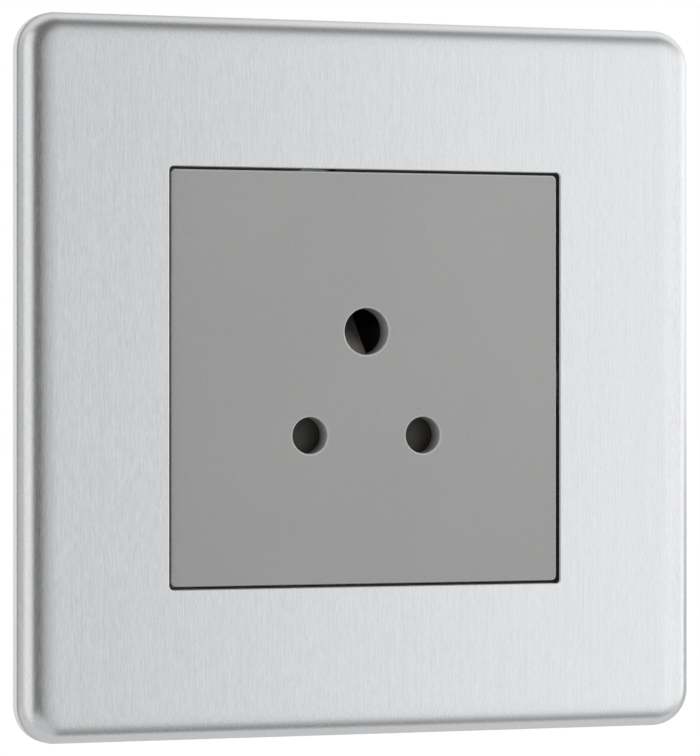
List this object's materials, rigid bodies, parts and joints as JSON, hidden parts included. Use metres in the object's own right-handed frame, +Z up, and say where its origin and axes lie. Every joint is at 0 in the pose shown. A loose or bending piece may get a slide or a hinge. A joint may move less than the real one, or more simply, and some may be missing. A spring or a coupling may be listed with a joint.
{
  "type": "round pin wall socket",
  "caption": "Square brushed steel wall plate, rounded at its edge, round a grey moulded socket face with holes for round pins; shuttered contacts and wire terminals behind.",
  "frame": {"origin": "on the wall's surface, midway between the two fixing holes", "axes": "+X to the right and +Z up as seen from the room, +Y into the wall; the face looks along -Y"},
  "size_m": [0.086, 0.0238, 0.086],
  "materials": {
    "brushed_plate": "fine vertical brushing, satin",
    "pale_frame": "matt moulded",
    "black_nylon": "matt moulded",
    "zinc_steel": "zinc plated",
    "grey_moulding": "matt moulded",
    "dark_moulding": "matt moulded",
    "shutter_grey": "matt moulded",
    "spring_steel": "bright drawn",
    "brass": "bright rolled",
    "nickelled_steel": "nickel plated"
  },
  "bodies": {
    "base": {"mounting_frame": "pale_frame", "mounting_yoke": "zinc_steel", "socket_front": "grey_moulding", "rear_housing": "dark_moulding", "shutter_spring": "spring_steel", "earth_strap": "zinc_steel", "plate_earth_spring": "spring_steel", "leaf_rivet": "nickelled_steel", "yoke_rivet": "nickelled_steel", "strap_rivet": "brass", "live_contact": "brass", "live_contact_spring": "spring_steel", "live_terminal": "brass", "live_terminal_screw": "nickelled_steel", "neutral_contact": "brass", "neutral_contact_spring": "spring_steel", "neutral_terminal": "brass", "neutral_terminal_screw": "nickelled_steel", "earth_contact": "brass", "earth_contact_spring": "spring_steel", "earth_terminal": "brass", "earth_terminal_screw": "nickelled_steel", "housing_screw_left_upper": "zinc_steel", "housing_screw_right_upper": "zinc_steel", "housing_screw_left_lower": "zinc_steel", "housing_screw_right_lower": "zinc_steel"},
    "shutter": {"shutter": "shutter_grey"},
    "plate": {"front_plate": "brushed_plate", "plate_carrier": "black_nylon"}
  },
  "joints": [
    {"name": "shutter_slide", "type": "slide", "parent": "base", "child": "shutter", "axis": [0, 0, -1], "range_m": [0, 0.0056], "stiffness_N_per_m": 90, "springref_m": -0.005, "deforming": ["shutter_spring"]},
    {"name": "plate_clip_off", "type": "slide", "parent": "base", "child": "plate", "axis": [0, -1, 0], "range_m": [0, 0.012]}
  ]
}
